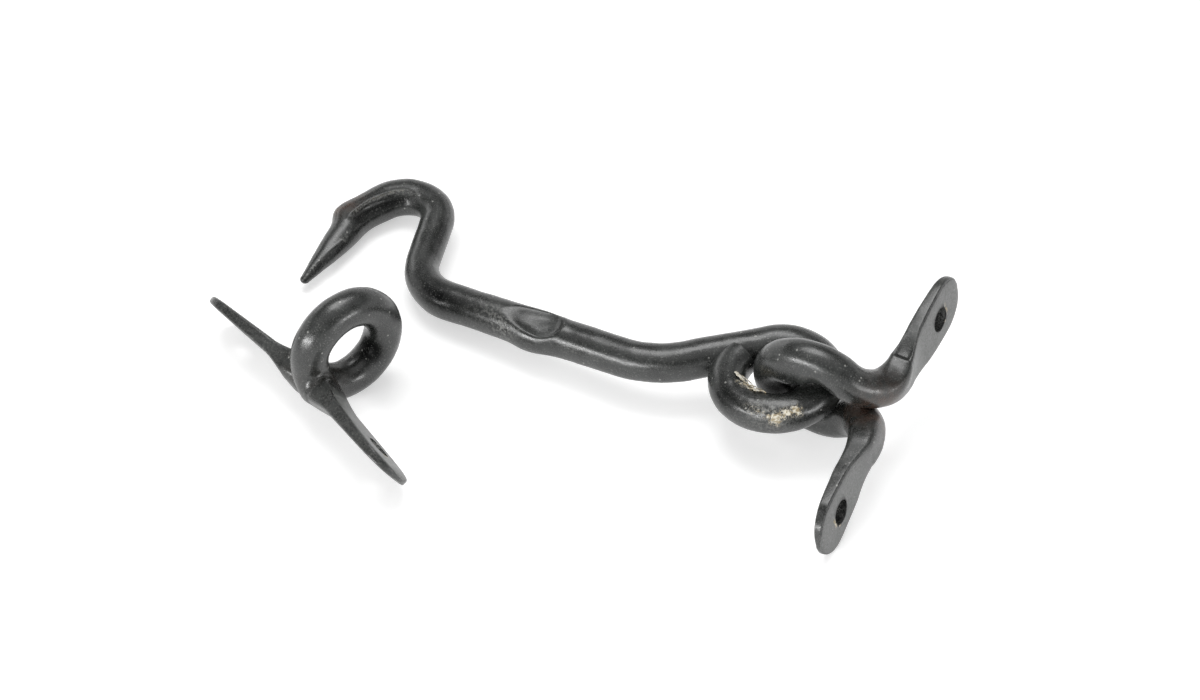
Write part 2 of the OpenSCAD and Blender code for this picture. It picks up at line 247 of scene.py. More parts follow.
def ease(t):
    u = np.clip(t, 0, 1)
    return u * u * (3 - 2 * u)


def ramp(x, start, length):
    """Rises from 0 at the start to 1 a length on, or a length back where the length is negative."""
    return ease((x - start) / length)


def hump(x, middle, before, after):
    """Rounded bump of height 1 at the middle, with its own width on each side."""
    d = np.asarray(x) - middle
    return np.exp(-(d / np.where(d < 0, before, after)) ** 2)


def angle_from(theta, at):
    """Angle from one direction round a section to others, from -180 to 180."""
    return (np.asarray(theta) - at + 180) % 360 - 180


def around(theta, at, width):
    """Rounded bump of height 1 round a section, at an angle and of a width."""
    return np.exp(-(angle_from(theta, at) / width) ** 2)


def crisp(theta, at, width):
    """Bump of height 1 with a sharp top round a section."""
    return np.exp(-np.abs(angle_from(theta, at)) / width)


def spot(points, strength, place, size, power=2):
    """Round mark on points, with its strength in the middle."""
    off = np.linalg.norm((points - np.array(place)) / np.array(size), axis=1)
    return strength * np.exp(-off ** power)


def patch(along, theta, strength, middle, before, after, angle, width):
    """Mark at a place along a bar and an angle round it."""
    return strength * hump(along, middle, before, after) * around(theta, angle, width)


def beside(theta, edge_at, strength, shift, width):
    """Mark that runs along an edge, at an angle from it."""
    return strength * around(theta, edge_at + shift, width)


def each_point(row):
    """One value a section, repeated for the points of its ring."""
    return np.repeat(row, RING)


def turn(rx, ry, rz):
    """Rotation about X, then Y, then Z."""
    x = np.array([[1, 0, 0], [0, cos(rx), -sin(rx)], [0, sin(rx), cos(rx)]])
    y = np.array([[cos(ry), 0, sin(ry)], [0, 1, 0], [-sin(ry), 0, cos(ry)]])
    z = np.array([[cos(rz), -sin(rz), 0], [sin(rz), cos(rz), 0], [0, 0, 1]])
    return z @ y @ x


def noise(points, size, seed):
    """Smooth noise from -1 to 1 at points, with lumps about that size."""
    n = 32
    lattice = np.random.default_rng(seed).uniform(-1, 1, (n, n, n))
    q = points / size
    i = np.floor(q).astype(int)
    f = q - i
    f = f * f * (3 - 2 * f)
    out = np.zeros(len(points))
    for dx in (0, 1):
        for dy in (0, 1):
            for dz in (0, 1):
                w = np.abs(1 - dx - f[:, 0]) * np.abs(1 - dy - f[:, 1]) * np.abs(1 - dz - f[:, 2])
                out += w * lattice[(i[:, 0] + dx) % n, (i[:, 1] + dy) % n, (i[:, 2] + dz) % n]
    return out


def tube_faces(rows, ring):
    """Faces of a closed tube made of rows of points, with a cap at each end."""
    faces = []
    for a in range(0, (rows - 1) * ring, ring):
        b = a + ring
        for i in range(ring):
            j = (i + 1) % ring
            faces.append((a + i, a + j, b + j, b + i))
    faces.append(tuple(range(ring - 1, -1, -1)))
    faces.append(tuple((rows - 1) * ring + i for i in range(ring)))
    return faces


def new_piece(name, points, faces):
    mesh = bpy.data.meshes.new(name)
    mesh.from_pydata((np.asarray(points) * MM).tolist(), [], faces)
    mesh.update()
    piece = bpy.data.objects.new(name, mesh)
    bpy.context.scene.collection.objects.link(piece)
    return piece


def swept(name, s, relief, marks):
    """Bar swept through the stations s. relief(theta, u, v) shapes the sections, and marks(points, theta)
    gives named values for each point, which the material reads."""
    theta = np.linspace(0, 360, RING, endpoint=False)[None, :] + s.shift[:, None]
    c = cos(theta)
    d = sin(theta)
    power = 2 / s.square[:, None]
    u = s.half[:, :1] * np.sign(c) * np.abs(c) ** power
    v = s.half[:, 1:] * np.sign(d) * np.abs(d) ** power
    u, v = relief(theta, u, v)
    along_first = u[..., None] * s.first[:, None]
    along_second = v[..., None] * s.second[:, None]
    points = (s.middles[:, None] + along_first + along_second).reshape(-1, 3)
    out = along_first + along_second
    out = (out / np.maximum(np.linalg.norm(out, axis=2, keepdims=True), TINY)).reshape(-1, 3)
    rough = sum(height * noise(points, size, seed) for height, size, seed in SKIN)
    points = points + rough[:, None] * out
    values = marks(points, theta.reshape(-1))
    crumbs = np.clip(CRUMB_GAIN * noise(points, CRUMB_SIZE, CRUMB_SEED), 0, 1)
    crumbs = np.clip(values["wear"], 0, 1) * crumbs
    points = points + (CRUMB_HIGH * crumbs)[:, None] * out
    piece = new_piece(name, points, tube_faces(len(s.middles), RING))
    for key, value in values.items():
        layer = piece.data.attributes.new(key, "FLOAT", "POINT")
        layer.data.foreach_set("value", np.clip(value, 0, 1).astype(np.float32))
    return piece


def smooth(piece):
    piece.data.shade_smooth()
    piece.data.set_sharp_from_angle(angle=math.radians(SHARP_ANGLE))


def after_bend(x, y, heading, radius, angle):
    """Place and heading at the end of a bend."""
    side = math.copysign(radius, angle)
    end = heading + angle
    return x + side * (sin(end) - sin(heading)), y - side * (cos(end) - cos(heading)), end


def hook_states():
    """Places along the hook's bar, from the closed end of the eye to the point of the beak.
    share and run tell how far along its stretch a place is, as a share and in mm."""
    states = []
    start = 90 + SWEEP_A - EYE_WRAP
    count = int(EYE_R * math.radians(EYE_WRAP) / STEP)
    for i in range(count):
        a = start + EYE_WRAP * i / count
        states.append(State(EYE_R * cos(a), EYE_R * sin(a), a + 90, "eye", i / count, 0.0))
    x = EYE_R * cos(90 + SWEEP_A)
    y = EYE_R * sin(90 + SWEEP_A)
    h = 180 + SWEEP_A
    for straight, length, bend, radius, angle in BENDS:
        count = int(length / STEP)
        for i in range(count):
            d = length * i / count
            states.append(State(x + d * cos(h), y + d * sin(h), h, straight, i / count, d))
        x = x + length * cos(h)
        y = y + length * sin(h)
        arc = abs(math.radians(angle)) * radius
        count = int(arc / STEP)
        for i in range(count):
            t = i / count
            states.append(State(*after_bend(x, y, h, radius, angle * t), bend, t, arc * t))
        x, y, h = after_bend(x, y, h, radius, angle)
    for t in sin(np.linspace(0, 90, POINT_ROWS)):
        states.append(State(x + POINT * t * cos(h), y + POINT * t * sin(h), h, "point", t, POINT * t))
    return states


# Pose of the hook: its eye hangs on the linked ring and its beak rests on the bench
HOOK_STATES = hook_states()
BEAK_AT = next(state for state in HOOK_STATES if state.stretch == "beak")
RING_Z = LINK_RING * cos(LINK_ROLL) + STAPLE_R
BAR_Z = RING_Z - LINK_DROP
BROW_LIFT = BEAK_AT.y * sin(HOOK_ROLL)
HOOK_PITCH = np.degrees(np.arcsin((BAR_Z + BROW_LIFT - BEAK_ROOT / 2) / (EYE_R - BEAK_AT.x)))
EYE_Z = BAR_Z - EYE_R * sin(HOOK_PITCH)
HOOK_TURN = turn(HOOK_ROLL, -HOOK_PITCH, HOOK_YAW)
HOOK_AT = np.array([*EYE_AT, EYE_Z])


def hook_half_sizes(s):
    """Half sizes of the hook's sections: a round bar, slimmer on the neck and drawn out to the beak."""
    n = len(s.share)
    half = np.full((n, 2), HOOK_R)
    slim = np.select([s.on["crease"], s.on["neck"], s.on["crown"]],
                     [ease(s.share), np.ones(n), 1 - ease(s.share)], 0.0)
    half -= (NECK_SLIM / 2 * slim)[:, None]
    brow = s.on["brow"]
    half[brow] -= ((HOOK_R - BEAK_ROOT / 2) * ease(s.share[brow]))[:, None]
    beak = s.on["beak"]
    t = s.share[beak]
    width = mix(BEAK_ROOT, BEAK_TIP, t) / 2 + BELLY * sin(180 * t ** BELLY_LEAN)
    half[beak] = np.c_[width, width * mix(1, BEAK_FLAT, t)]
    point = s.on["point"]
    blunt = np.sqrt(np.maximum(POINT_END, 1 - s.share[point] ** 2))
    half[point] = np.c_[blunt, blunt * BEAK_FLAT] * BEAK_TIP / 2
    return half


def hook_stations():
    """Sections of the hook, and where its dish and its forged edges run."""
    s = SimpleNamespace()
    xy = np.array([[state.x, state.y] for state in HOOK_STATES])
    heading = np.array([state.heading for state in HOOK_STATES])
    stretch = np.array([state.stretch for state in HOOK_STATES])
    s.share = np.array([state.share for state in HOOK_STATES])
    s.run = np.array([state.run for state in HOOK_STATES])
    s.on = {name: stretch == name for name in set(stretch)}
    n = len(xy)
    s.middles = np.c_[xy, np.zeros(n)] @ HOOK_TURN.T + HOOK_AT
    s.first = np.c_[-sin(heading), cos(heading), np.zeros(n)] @ HOOK_TURN.T
    s.second = np.tile(HOOK_TURN @ np.array([0, 0, 1]), (n, 1))
    s.half = hook_half_sizes(s)
    s.square = np.full(n, ROUND)
    off_shank = np.where(s.on["sweep"], ON_SWEEP, ELSEWHERE)
    s.past_dish = np.where(s.on["shank"], s.run, off_shank) - DISH_FROM
    # distances past the start of the beak and of the crown, negative before them
    along = np.cumsum(np.r_[0, np.linalg.norm(np.diff(xy, axis=0), axis=1)])
    s.past_beak = along - along[np.argmax(s.on["beak"])]
    past_crown = along - along[np.argmax(s.on["crown"])]
    s.ridge_at = np.interp(s.past_beak, *zip(*RIDGE_PATH))
    s.ridge = ramp(past_crown, *RIDGE_RISE) * ramp(s.past_beak, *RIDGE_FADE)
    s.edge_at = np.interp(s.past_beak, *zip(*EDGE_PATH))
    s.edge = ramp(s.past_beak, *EDGE_RISE)
    # the sections are turned so that one point of each stays on the forged edge
    from_beak_edge = (HEAD_POINT - BEAK_POINT) * POINT_ANGLE
    crest_path = RIDGE_PATH + tuple((at, angle + from_beak_edge) for at, angle in EDGE_PATH[1:])
    s.shift = np.interp(s.past_beak, *zip(*crest_path)) - HEAD_POINT * POINT_ANGLE
    return s


def thumb_dish(s, u, v):
    """Oval pressed into the shank, steep at the end toward the eye and easy at the other."""
    x = s.past_dish
    lie_u = cos(DISH_ANGLE)
    lie_v = sin(DISH_ANGLE)
    across = -u * lie_v + v * lie_u
    above = u * lie_u + v * lie_v > 0
    far = np.where(x < 0, -x / DISH_TO_EYE, x / DISH_TO_NECK)[:, None]
    off = np.sqrt(far ** 2 + (across / DISH_HALF_W) ** 2)
    steep = mix(*STEEP, ramp(x, *STEEP_CHANGE))[:, None]
    soft = mix(*SOFT, ramp(x, *SOFT_CHANGE))[:, None]
    press = np.where(above, DISH_PRESS * np.maximum(0, 1 - off ** steep) ** soft, 0)
    lip = np.where(above, LIP_HIGH * np.exp(-((off - LIP_AT) / LIP_W) ** 2), 0)
    lift = lip * ramp(x, *LIP_RISE)[:, None] - press
    return u + lift * lie_u, v + lift * lie_v


def hook_relief(s, theta, u, v):
    """Forged relief of the hook: swell and dish for the thumb, and the head's edges and knob."""
    radius = np.hypot(u, v) + TINY
    # metal pushed out beside the thumb dish
    swell = DISH_SWELL * hump(s.past_dish, *SWELL)[:, None]
    grow = swell * sum(share * around(theta, angle, width) for share, angle, width in SWELL_SIDES)
    # forged edges along the inner side of the head and the beak: a crisp line with a hollow face below it
    size = np.minimum(s.half[:, :1], FULL_RELIEF_R) / FULL_RELIEF_R
    nick = 1 - NICK_DEEP * hump(s.past_beak, *NICK)[:, None]
    for strength, at, high, deep in ((s.ridge, s.ridge_at, RIDGE_HIGH, RIDGE_HOLLOW),
                                     (s.edge, s.edge_at, EDGE_HIGH * nick, EDGE_HOLLOW)):
        hollow = around(theta, at[:, None] - HOLLOW_BELOW, HOLLOW_W)
        crest = crisp(theta, at[:, None], CREST_W)
        grow = grow + strength[:, None] * size * (high * crest - deep * hollow)
    # brow knob on the outer side
    knob = hump(s.past_beak, *KNOB)[:, None]
    grow = grow + KNOB_HIGH * knob * around(theta, KNOB_ANGLE, KNOB_W)
    return thumb_dish(s, u * (1 + grow / radius), v * (1 + grow / radius))


def hook_marks(s, points, theta):
    """Wax, scuffs, painted highlight lines, rust, painted shade and a painted sheen in the dish on the hook,
    from 0 to 1 at each point.
    """
    local = (points - HOOK_AT) @ HOOK_TURN
    on_crease = np.where(s.on["crease"], CREASE_FROM + s.run, OFF_SHANK)
    shank = each_point(np.where(s.on["shank"], s.run, on_crease))
    past_beak = each_point(s.past_beak)
    ridge = each_point(s.ridge)
    ridge_at = each_point(s.ridge_at)
    edge = each_point(s.edge)
    edge_at = each_point(s.edge_at)
    wear = sum(spot(local, *wax) for wax in WAX_SPOTS)
    wear = np.maximum(wear, spot(local, *WAX_INSIDE))
    wear = np.maximum(wear, ridge * beside(theta, ridge_at, *RIDGE_CRUMBS))
    # painted highlight lines on the head's edge, the beak's edge near the point, and the nick
    line = np.maximum.reduce([
        ridge * beside(theta, ridge_at, *RIDGE_GLINT),
        edge * hump(past_beak, *EDGE_GLINT_REACH) * beside(theta, edge_at, *EDGE_GLINT),
        hump(past_beak, *NICK_GLINT_REACH) * beside(theta, edge_at, *NICK_GLINT)])
    # scuffs, and the painted highlight lines along the edges
    scuff = spot(local, *EYE_SCUFF) + line
    scuff = scuff + sum(patch(shank, theta, *rub) for rub in (PITS, SCUFF_PAST_DISH, SCUFF_BEFORE_DISH))
    # painted shade: under the edges, on the neck, on the shank, at the dish's ends and at the eye
    dark = np.maximum.reduce([
        ridge * beside(theta, ridge_at, *RIDGE_SHADE),
        edge * beside(theta, edge_at, *EDGE_SHADE),
        each_point(s.on["neck"]) * patch(each_point(s.share), theta, *NECK_SHADE),
        patch(shank, theta, *SHADE_BEFORE_NECK),
        patch(shank, theta, *DISH_SHADE_NECK_END),
        patch(shank, theta, *DISH_SHADE_EYE_END),
        spot(local, *EYE_SHADE)])
    return {"wear": wear, "scuff": scuff, "rust": patch(past_beak, theta, *BROW_RUST), "dark": dark,
            "pale": patch(shank, theta, *DISH_SHEEN)}


def build_hook():
    s = hook_stations()
    return swept("hook_forged", s, partial(hook_relief, s), partial(hook_marks, s))


def build_flakes():
    """Frayed strips of old wax that curl off the inner edge of the eye."""
    n = FLAKE_ROWS
    sides = len(FLAKE_SECTION)
    t = np.linspace(0, 1, n)
    points = []
    faces = []
    for k, (start, end, angle_start, angle_end, low, high, width, waves) in enumerate(FLAKES):
        phi = mix(start, end, t)
        theta = mix(angle_start, angle_end, t) + SWAY * sin(360 * waves * t + SWAY_NEXT * k)
        r = HOOK_R + FLAKE_CLEAR + low + (high - low) * sin(180 * t)
        frayed = 1 + FRAY * sin(FRAY_RUN * t + FRAY_NEXT * k)
        wide = width * np.sqrt(np.maximum(BLUNT_ENDS, 1 - (2 * t - 1) ** 4)) * frayed
        for off, rise in FLAKE_SECTION:
            a = theta + np.degrees(off * wide / r)
            m = EYE_R - (r + rise) * cos(a)
            local = np.c_[m * cos(phi), m * sin(phi), (r + rise) * sin(a)]
            points.append(local @ HOOK_TURN.T + HOOK_AT)
        base = k * sides * n
        for j in range(sides):
            for i in range(n - 1):
                a = base + j * n + i
                b = base + (j + 1) % sides * n + i
                faces.append((a, b, b + 1, a + 1))
        faces.append(tuple(base + j * n for j in range(sides)))
        faces.append(tuple(base + j * n + n - 1 for j in range(sides - 1, -1, -1)))
    return new_piece("eye_flakes", np.concatenate(points), faces)


def ring_height(ring, wrap, corner, **_):
    """Height of a staple's ring above the plane of its tabs."""
    return corner * sin(wrap) - ring * cos(wrap)


def staple_leg(ring, wrap, corner, reach):
    """Sections of one leg of a staple from the ring's end to the tip, then its hole's middle and axis."""
    heading = np.array([0, -cos(wrap), -sin(wrap)])
    axis = np.array([0, -sin(wrap), cos(wrap)])
    foot = np.array([0, -ring * sin(wrap), ring_height(ring, wrap, corner) + ring * cos(wrap)])
    root = np.array([corner, -corner * cos(wrap) - ring * sin(wrap), 0])
    out = np.array([cos(TAB_LEAN), 0, -sin(TAB_LEAN)])
    back = np.array([-sin(TAB_LEAN), 0, -cos(TAB_LEAN)])
    side = np.array([0.0, 1, 0])
    tab_len = (reach - corner) / cos(TAB_LEAN)
    end = TAB_W / 2
    straight = tab_len - end
    lead_in = corner * np.pi / 4

    def section(middle, first, second, z):
        """Section at a distance past the tab's root, hammered from half way round the corner."""
        flat = ramp(z, -lead_in, TAB_SHOULDER + lead_in)
        wide = ramp(z, -lead_in, straight + lead_in)
        thin = max(0, z - TAB_SHOULDER) / (tab_len - TAB_SHOULDER)
        past = max(0, z - straight) / end
        tip = math.sqrt(max(TIP_THIN, 1 - past ** 8))
        half = (mix(STAPLE_R, mix(TAB_ROOT_T, TAB_TIP_T, thin) / 2, flat) * tip,
                mix(STAPLE_R, end, wide) * math.sqrt(max(0, 1 - past * past)))
        square = mix(ROUND, mix(TAB_SQUARE, TIP_SQUARE, past), flat)
        return Section(middle, first, second, half, square, z, 1)

    sections = []
    count = int(corner * np.pi / 2 / STEP)
    for i in range(count):
        a = 90 * i / count
        along = cos(a) * heading + np.array([sin(a), 0, 0])
        across = np.cross(along, axis)
        twist = (wrap - 90) * i / count
        middle = foot + corner * (sin(a) * heading + np.array([1 - cos(a), 0, 0]))
        first = across * cos(twist) + axis * sin(twist)
        second = across * sin(twist) - axis * cos(twist)
        sections.append(section(middle, first, second, -corner * math.radians(90 - a)))
    places = list(np.linspace(0, straight, int(straight / STEP), endpoint=False))
    places += [straight + end * sin(a) for a in np.linspace(0, TIP_ANGLE, TIP_ROWS)]
    sections += [section(root + z * out, back, side, z) for z in places]
    return sections, root + (tab_len - HOLE_INSET) * out, -back


def staple_stations(size, place, lie, twist):
    """Sections of a staple from one tip round the ring to the other, and its holes."""
    leg, hole, axis = staple_leg(**size)
    up = ring_height(**size)
    ring, wrap = size["ring"], size["wrap"]
    half_turn = np.diag([-1.0, -1, 1])
    sections = [b._replace(middle=half_turn @ b.middle, first=-half_turn @ b.first,
                           second=half_turn @ b.second, leg=-1) for b in reversed(leg)]
    count = int(ring * math.radians(2 * wrap) / STEP)
    for beta in np.linspace(wrap, -wrap, count)[1:-1]:
        radial = np.array([0, sin(beta), cos(beta)])
        middle = np.array([0, 0, up]) + ring * radial
        first = np.array([-1.0, 0, 0])
        sections.append(Section(middle, first, -radial, (STAPLE_R, STAPLE_R), ROUND, OFF_TAB, 0))
    sections += leg
    s = SimpleNamespace(place=place, lie=lie)
    local = np.array([b.middle for b in sections])
    first = np.array([b.first for b in sections]) @ lie.T
    second = np.array([b.second for b in sections]) @ lie.T
    s.middles = local @ lie.T + place
    s.half = np.array([b.half for b in sections])
    s.square = np.array([b.square for b in sections])
    s.tab = np.array([b.tab for b in sections], float)
    s.leg = np.array([b.leg for b in sections], float)
    s.shift = np.zeros(len(sections))
    # the tabs are hammered a little out of square
    a = (twist * ramp(s.tab, 0, TWIST_LEN))[:, None]
    s.first = cos(a) * first - sin(a) * second
    s.second = cos(a) * second + sin(a) * first
    # upper stretch of the ring, on the side away from the tabs
    above = ramp(s.middles[:, 2] - place[2], *FULLER_ABOVE)
    s.upper = above * ramp((local[:, 2] - up) / ring, *FULLER_AWAY) * (s.leg == 0)
    s.holes = [(lie @ (half_turn @ hole) + place, lie @ (half_turn @ axis)), (lie @ hole + place, lie @ axis)]
    return s


def staple_relief(s, notch, fuller, theta, u, v):
    """Forged relief of a staple: hammer shoulders on its tabs and a fuller inner side of its ring."""
    radius = np.hypot(u, v) + TINY
    grow = np.zeros_like(u)
    for leg, (at, angle, depth) in notch.items():
        struck = np.where(s.leg == leg, hump(s.tab, at, *NOTCH_REACH), 0)[:, None]
        grow = grow - depth * struck * around(theta, angle, NOTCH_W)
    grow = grow + fuller * s.upper[:, None] * around(theta, FULLER_ANGLE, FULLER_W)
    return u * (1 + grow / radius), v * (1 + grow / radius)


def staple_marks(s, notch, stain, shade_spots, face_sheen, points, theta):
    """Wear, scuffs, rust, painted shade on corners, notches and spots, and pale faces with painted sheen of a
    staple, from 0 to 1 at each point.
    """
    rim = np.zeros(len(points))
    for middle, axis in s.holes:
        away = points - middle
        off = np.linalg.norm(away - (away @ axis)[:, None] * axis, axis=1)
        rim = np.maximum(rim, np.exp(-((off - HOLE_R) / RIM_W) ** 2))
    tab = ramp(each_point(s.tab), *TAB_MARKS_FROM)
    # pale broad faces of the tabs, with painted sheen
    face = (around(theta, 0, TAB_FACE_W) + around(theta, 180, TAB_FACE_W)) * tab
    # painted shade along the four corners of each tab
    dark = CORNER_SHADE * sum(around(theta, at, TAB_CORNER_W) for at in TAB_CORNERS) * tab
    # spots of painted shade
    for place, size in shade_spots:
        dark = np.maximum(dark, spot(points, 1, place, size, power=4))
    # a painted shade line in each notch
    for leg, (at, angle, depth) in notch.items():
        line = depth * hump(s.tab, at - NOTCH_LINE_BACK, *NOTCH_LINE_REACH)
        cut = each_point(np.where(s.leg == leg, line, 0))
        dark = np.maximum(dark, cut * around(theta, angle, NOTCH_LINE_W))
    rust = spot(points, stain, s.lie @ np.array([0, 0, STAIN_LOW]) + s.place, STAIN_R)
    # scuffs on the tabs, and painted sheen on their faces
    return {"wear": RIM_WEAR * rim, "scuff": TAB_SCUFF * tab + face_sheen * face, "rust": rust, "dark": dark,
            "pale": face}


def build_staple(name, size, place, lie, notch, twist, fuller, stain, shade_spots, bare, face_sheen):
    s = staple_stations(size, place, lie, twist)
    relief = partial(staple_relief, s, notch, fuller)
    marks = partial(staple_marks, s, notch, stain, shade_spots, face_sheen)
    piece = swept(name, s, relief, marks)
    for middle, axis in s.holes:
        drill(piece, middle, axis)
    mark_holes(piece, s, bare)
    return piece


def drill(piece, middle, axis):
    """Cuts a screw hole with slightly rounded rims."""
    profile = [(-z, r) for z, r in reversed(DRILL_HALF)] + list(DRILL_HALF)
    angles = [360 * i / DRILL_POINTS for i in range(DRILL_POINTS)]
    points = [(r * cos(a), r * sin(a), z) for z, r in profile for a in angles]
    tool = new_piece("drill", points, tube_faces(len(profile), DRILL_POINTS))
    tool.rotation_mode = "QUATERNION"
    tool.rotation_quaternion = Vector(axis).to_track_quat("Z", "Y")
    tool.location = Vector(middle) * MM
    cut = piece.modifiers.new("hole", "BOOLEAN")
    cut.operation = "DIFFERENCE"
    cut.solver = "EXACT"
    cut.object = tool
    bpy.context.view_layer.update()
    evaluated = piece.evaluated_get(bpy.context.evaluated_depsgraph_get())
    drilled = bpy.data.meshes.new_from_object(evaluated)
    piece.modifiers.remove(cut)
    solid = piece.data
    piece.data = drilled
    bpy.data.meshes.remove(solid)
    tool_mesh = tool.data
    bpy.data.objects.remove(tool)
    bpy.data.meshes.remove(tool_mesh)


def mark_holes(piece, s, bare):
    """Paints shade on the walls of the holes, and bares the metal on their rims toward the tips."""
    wear = piece.data.attributes["wear"].data
    dark = piece.data.attributes["dark"].data
    for i, vertex in enumerate(piece.data.vertices):
        for middle, axis in s.holes:
            away = np.array(vertex.co) / MM - middle
            deep = away @ axis
            aside = away - deep * axis
            off = np.linalg.norm(aside)
            if abs(deep) >= HOLE_REACH or off >= HOLE_RIM:
                continue
            # the hole's wall: painted shade, and no bare metal
            if off < HOLE_WALL:
                wear[i].value = 0
                dark[i].value = 1
            else:
                outward = middle - s.place
                toward_tip = aside @ outward / off / np.linalg.norm(outward)
                wear[i].value = BARE_RIM * float(ramp(toward_tip, bare, BARE_RIM_RISE))


def link(tree, a, b):
    tree.links.new(a, b)


def node(tree, kind, **values):
    """New node, with values for its inputs and its own settings."""
    n = tree.nodes.new(kind)
    for key, value in values.items():
        if key in n.inputs:
            n.inputs[key].default_value = value
        else:
            setattr(n, key, value)
    return n


def maths(tree, op, *operands):
    n = node(tree, "ShaderNodeMath", operation=op)
    for k, x in enumerate(operands):
        if isinstance(x, (int, float)):
            n.inputs[k].default_value = x
        else:
            link(tree, x, n.inputs[k])
    return n.outputs[0]


def times(tree, a, b):
    return maths(tree, "MULTIPLY", a, b)


def plus(tree, a, b):
    return maths(tree, "ADD", a, b)


def less(tree, a, b):
    return maths(tree, "SUBTRACT", a, b)


def larger(tree, a, b):
    return maths(tree, "MAXIMUM", a, b)


def span(tree, value, low, high, to_low=0.0, to_high=1.0):
    """Value eased from one range to another."""
    n = node(tree, "ShaderNodeMapRange", interpolation_type="SMOOTHSTEP")
    link(tree, value, n.inputs["Value"])
    for key, x in (("From Min", low), ("From Max", high), ("To Min", to_low), ("To Max", to_high)):
        n.inputs[key].default_value = x
    return n.outputs["Result"]


def blended(tree, factor, a, b):
    """Colour a where the factor is 0 and b where it is 1, each three numbers or a node's output."""
    n = node(tree, "ShaderNodeMix", data_type="RGBA")
    link(tree, factor, n.inputs[0])
    for key, x in ((6, a), (7, b)):
        if isinstance(x, tuple):
            n.inputs[key].default_value = (*x, 1)
        else:
            link(tree, x, n.inputs[key])
    return n.outputs[2]


def grain(tree, coords, name):
    """One of the noises, moved so that it doesn't match the others."""
    scale, detail, rough, shift = NOISES[name]
    n = node(tree, "ShaderNodeTexNoise", Scale=scale, Detail=detail, Roughness=rough)
    if shift:
        m = node(tree, "ShaderNodeMapping")
        m.inputs["Location"].default_value = (shift, shift * 1.7, shift * 0.6)
        link(tree, coords, m.inputs["Vector"])
        coords = m.outputs["Vector"]
    link(tree, coords, n.inputs["Vector"])
    return n.outputs["Fac"]


def mark(tree, name):
    """Values that the mesh holds under a name."""
    return node(tree, "ShaderNodeAttribute", attribute_name=name).outputs["Fac"]


def bumped(tree, skin, height, strength, distance):
    bump = node(tree, "ShaderNodeBump", Strength=strength, Distance=distance)
    link(tree, height, bump.inputs["Height"])
    link(tree, bump.outputs[0], skin.inputs["Normal"])


def dust_grains(t, coords):
    """Single grains of dust, as dots in some of the cells of a pattern."""
    dots = node(t, "ShaderNodeTexVoronoi", Scale=DUST_SCALE, Randomness=1.0)
    link(t, coords, dots.inputs["Vector"])
    near = span(t, dots.outputs["Distance"], 0.09, 0.17, 1, 0)
    pick = node(t, "ShaderNodeSeparateColor")
    link(t, dots.outputs["Color"], pick.inputs[0])
    return times(t, near, span(t, pick.outputs[0], 0.72, 0.84))


def bare_crumbs(t, coords, wear):
    """Crumbs and threads of wax and bare metal where the piece is worn."""
    crumb = grain(t, coords, "crumb")
    bare = span(t, plus(t, wear, times(t, crumb, 1.6)), 1.38, 1.50)
    thread = maths(t, "ABSOLUTE", less(t, grain(t, coords, "thread"), 0.5))
    thread = times(t, span(t, thread, 0.008, 0.03, 1, 0), span(t, wear, 0.22, 0.5))
    return larger(t, bare, times(t, thread, 0.8))


